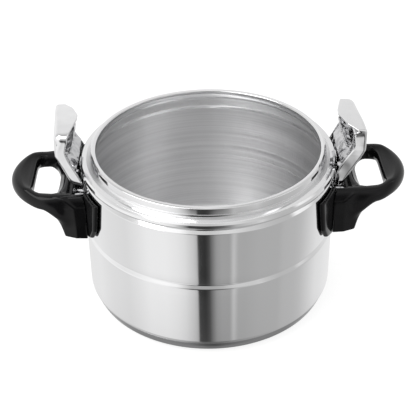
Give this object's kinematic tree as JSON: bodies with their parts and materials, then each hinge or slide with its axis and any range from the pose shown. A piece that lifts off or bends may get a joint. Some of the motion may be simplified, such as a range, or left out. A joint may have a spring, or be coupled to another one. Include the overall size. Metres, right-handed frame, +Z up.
{
  "type": "pressure canner",
  "caption": "Open pressure canner pot of polished aluminium with a rolled rim, capsule base, looped handles and hinged clamp levers",
  "frame": {"origin": "middle of the base, on the surface the pot stands on", "axes": "+Z up out of the pot's mouth, X through the two handles, Y across them"},
  "size_m": [0.3756, 0.243, 0.1884],
  "materials": {
    "polished_aluminium": "polished outside, spun inside",
    "base_metal": "satin, turned rings underneath",
    "bakelite": "glossy moulded black",
    "bracket_steel": "pressed steel",
    "lever_chrome": "bright chrome",
    "jaw_steel": "bright chrome, pressed",
    "pin_steel": "turned steel",
    "screw_steel": "plated steel"
  },
  "bodies": {
    "pot": {"pot_shell": "polished_aluminium", "base_cap": "base_metal", "right_handle": "bakelite", "right_saddle": "bakelite", "right_bracket": "bracket_steel", "right_hinge_rivet_a": "pin_steel", "right_hinge_rivet_b": "pin_steel", "right_screw_a": "screw_steel", "right_screw_b": "screw_steel", "right_washer_a": "screw_steel", "right_washer_b": "screw_steel", "left_handle": "bakelite", "left_saddle": "bakelite", "left_bracket": "bracket_steel", "left_hinge_rivet_a": "pin_steel", "left_hinge_rivet_b": "pin_steel", "left_screw_a": "screw_steel", "left_screw_b": "screw_steel", "left_washer_a": "screw_steel", "left_washer_b": "screw_steel"},
    "right_lever": {"right_lever": "lever_chrome", "right_jaw": "jaw_steel", "right_jaw_pin": "pin_steel"},
    "left_lever": {"left_lever": "lever_chrome", "left_jaw": "jaw_steel", "left_jaw_pin": "pin_steel"}
  },
  "joints": [
    {"name": "right_lever_hinge", "type": "hinge", "parent": "pot", "child": "right_lever", "pos_m": [0.1214, 0, 0.12], "axis": [0, 1, 0], "range_deg": [-5, 25]},
    {"name": "left_lever_hinge", "type": "hinge", "parent": "pot", "child": "left_lever", "pos_m": [-0.1214, 0, 0.12], "axis": [0, -1, 0], "range_deg": [-5, 25]}
  ]
}
